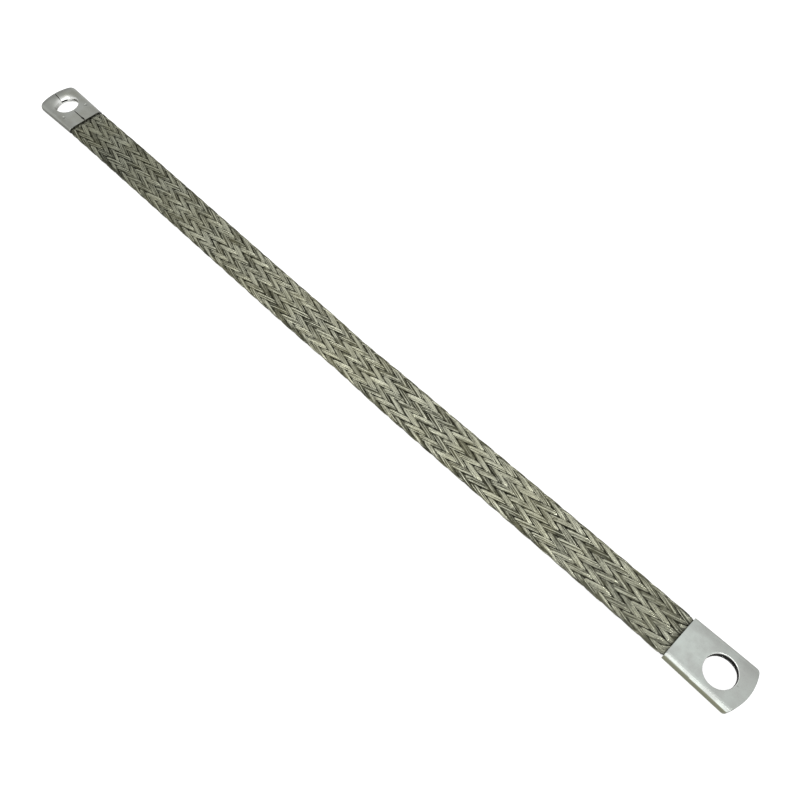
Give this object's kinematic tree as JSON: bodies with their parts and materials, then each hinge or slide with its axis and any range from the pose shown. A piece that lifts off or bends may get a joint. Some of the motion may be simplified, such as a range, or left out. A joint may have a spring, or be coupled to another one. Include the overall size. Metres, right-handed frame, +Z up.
{
  "type": "flexible busbar braid",
  "caption": "Flat woven tinned copper strap with a pressed sheet sleeve terminal on each end, each punched with a round bolt hole.",
  "frame": {"origin": "centre of the bounding box on the surface that the strap lies on", "axes": "+X along the strap from the far terminal to the near one, +Z up"},
  "size_m": [0.3, 0.0146, 0.0026],
  "materials": {
    "tinned_wire": "woven tinned copper wire, dulled to olive grey",
    "tinned_sheet": "satin tinned copper sheet"
  },
  "bodies": {
    "root": {"braid": "tinned_wire", "far_sleeve": "tinned_sheet", "near_sleeve": "tinned_sheet"}
  },
  "joints": []
}
